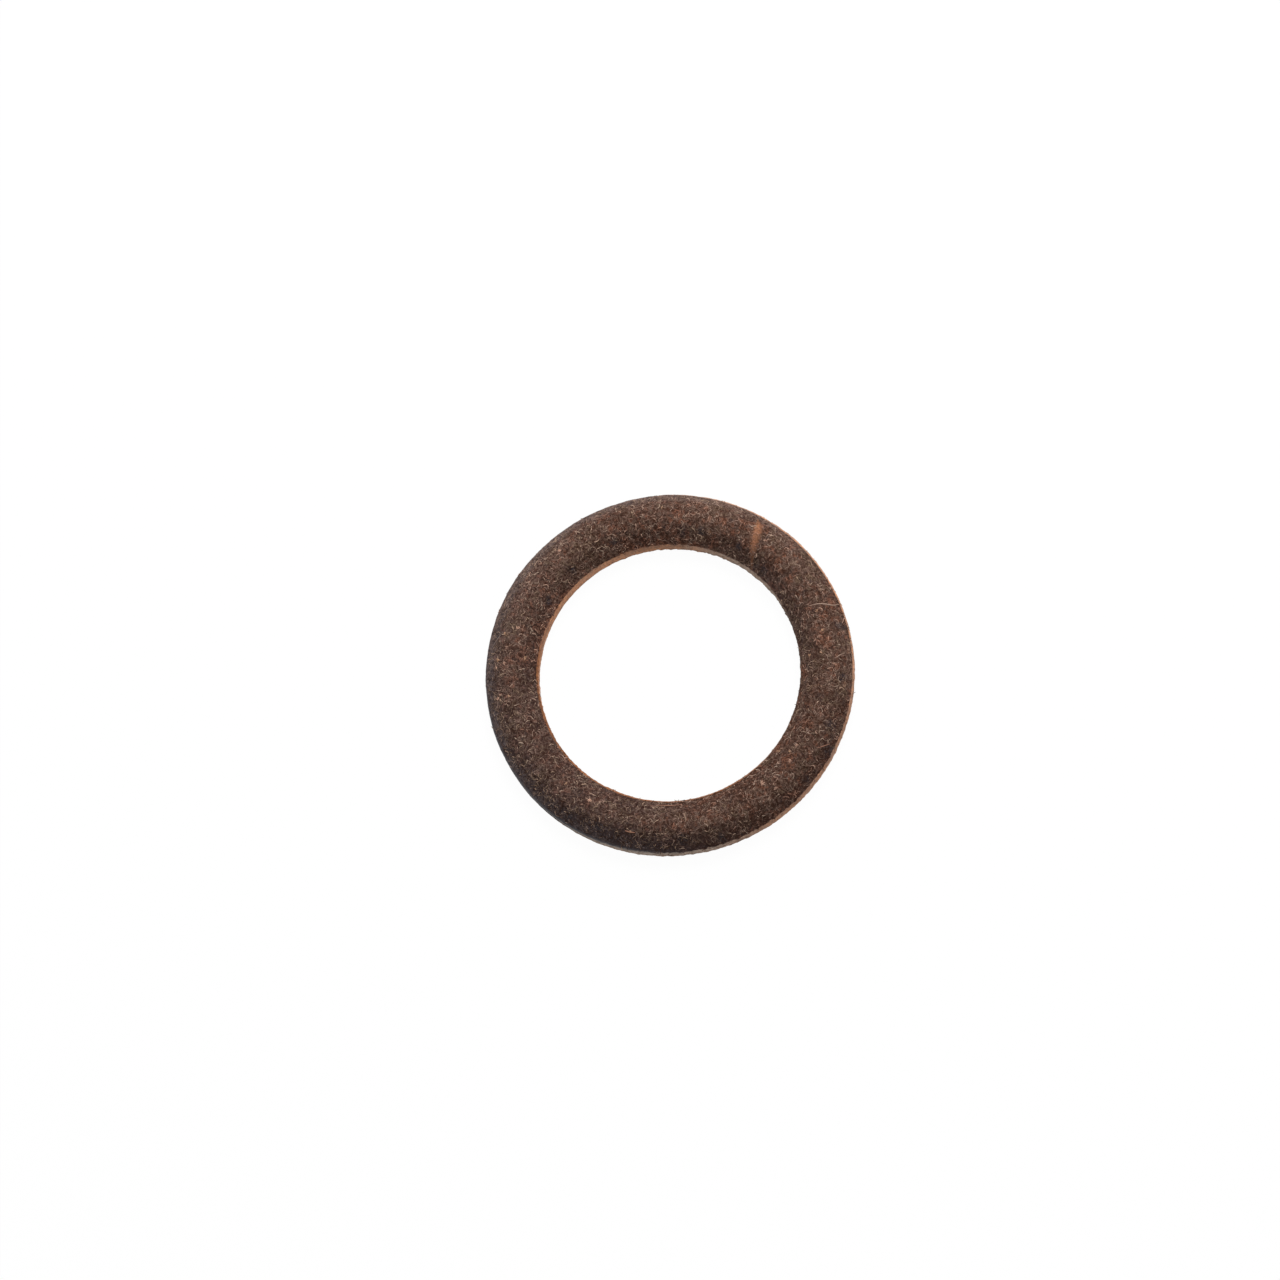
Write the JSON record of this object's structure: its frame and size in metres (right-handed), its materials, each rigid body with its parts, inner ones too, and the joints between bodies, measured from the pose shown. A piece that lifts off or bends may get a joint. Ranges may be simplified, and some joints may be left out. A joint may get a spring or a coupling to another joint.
{
  "type": "leather v-packing ring",
  "caption": "Moulded leather seal ring of chevron section, with a rounded crown on top, a V groove underneath and square-trimmed inner and outer lips.",
  "frame": {"origin": "on the ring's axis, level with the two trimmed lips that it rests on", "axes": "+Z along the ring's axis, from the lips towards the crown; the ring is round, so +X and +Y are free"},
  "size_m": [0.0334, 0.0334, 0.003],
  "materials": {
    "leather": "matt, napped and oil-darkened, with paler cut edges"
  },
  "bodies": {
    "root": {"packing_ring": "leather"}
  },
  "joints": []
}
